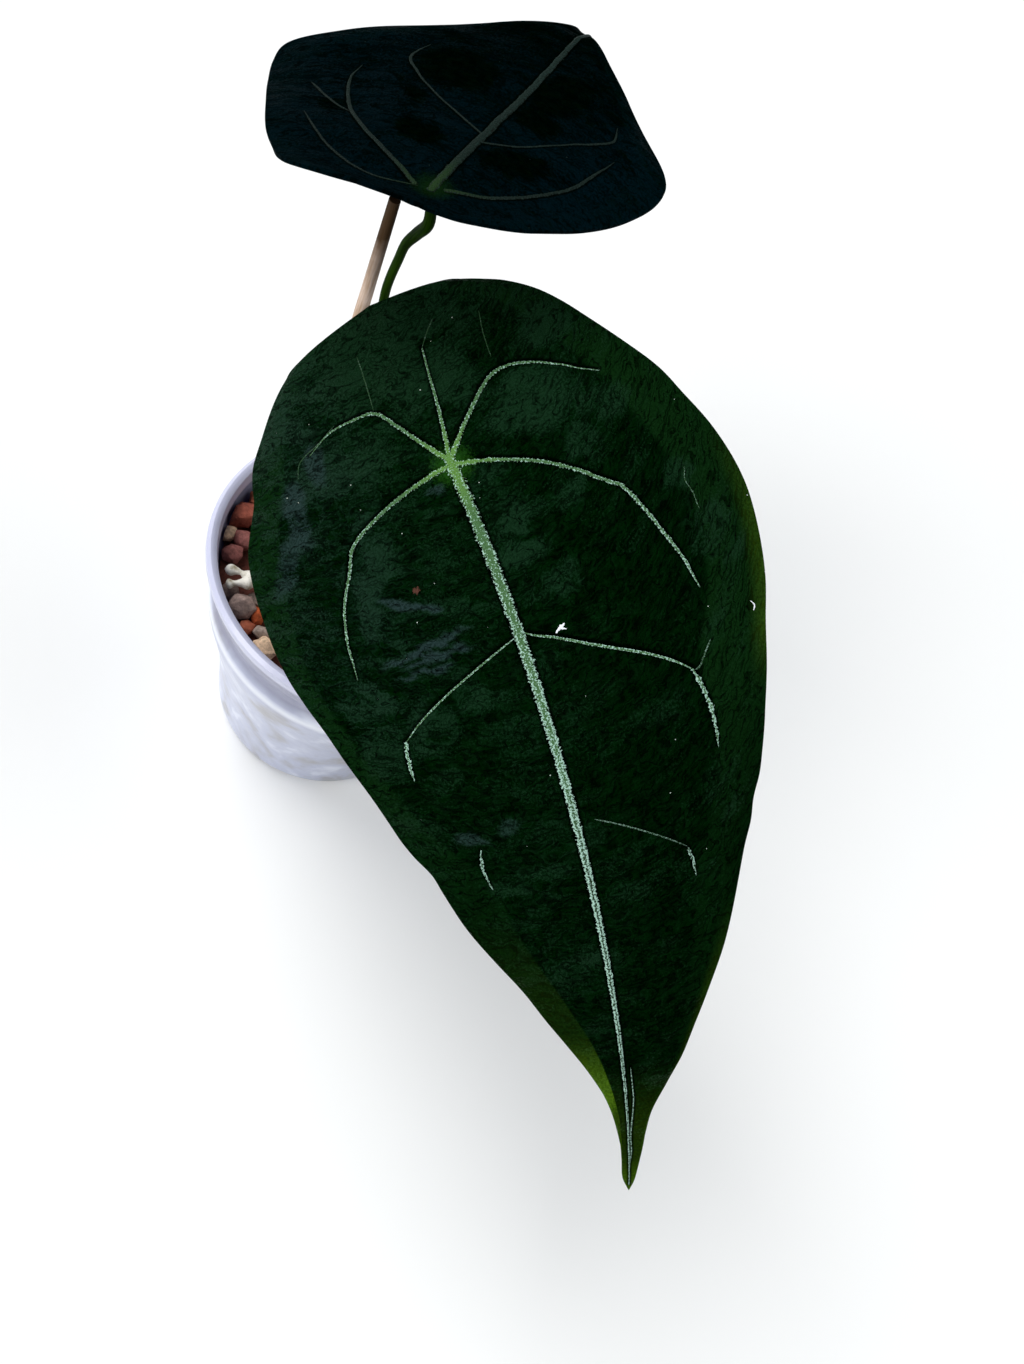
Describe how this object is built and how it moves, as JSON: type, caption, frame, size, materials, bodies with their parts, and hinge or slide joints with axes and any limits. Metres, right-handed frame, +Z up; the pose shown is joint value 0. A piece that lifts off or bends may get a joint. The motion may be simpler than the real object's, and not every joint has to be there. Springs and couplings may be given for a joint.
{
  "type": "potted anthurium forgetii",
  "caption": "Small potted anthurium: frosted plastic pot of clay chunks, short rooted stem and large velvety dark teardrop leaves with pale veins, one on each side",
  "frame": {"origin": "the middle of the pot's flat underside, on the surface the pot stands on", "axes": "+Z up along the pot's axis; the front leaf points toward +X and -Y, the back leaf toward +Y"},
  "size_m": [0.2152, 0.1978, 0.1904],
  "materials": {
    "pot_plastic": "frosted, bluish white",
    "clay_mix": "dull reddish-brown clay and lava chunks",
    "stem_tissue": "pale knobby roots, matt",
    "stalk_green": "smooth green stalk",
    "blade_front": "dark velvety green with pale veins",
    "blade_back": "dark blue-green velvet with pale veins",
    "stake_wood": "dry tan wood, darker toward the top"
  },
  "bodies": {
    "root": {"pot": "pot_plastic", "potting_mix": "clay_mix", "stem": "stem_tissue", "petiole_front": "stalk_green", "petiole_back": "stalk_green", "leaf_front": "blade_front", "leaf_back": "blade_back", "support_stake": "stake_wood"}
  },
  "joints": []
}
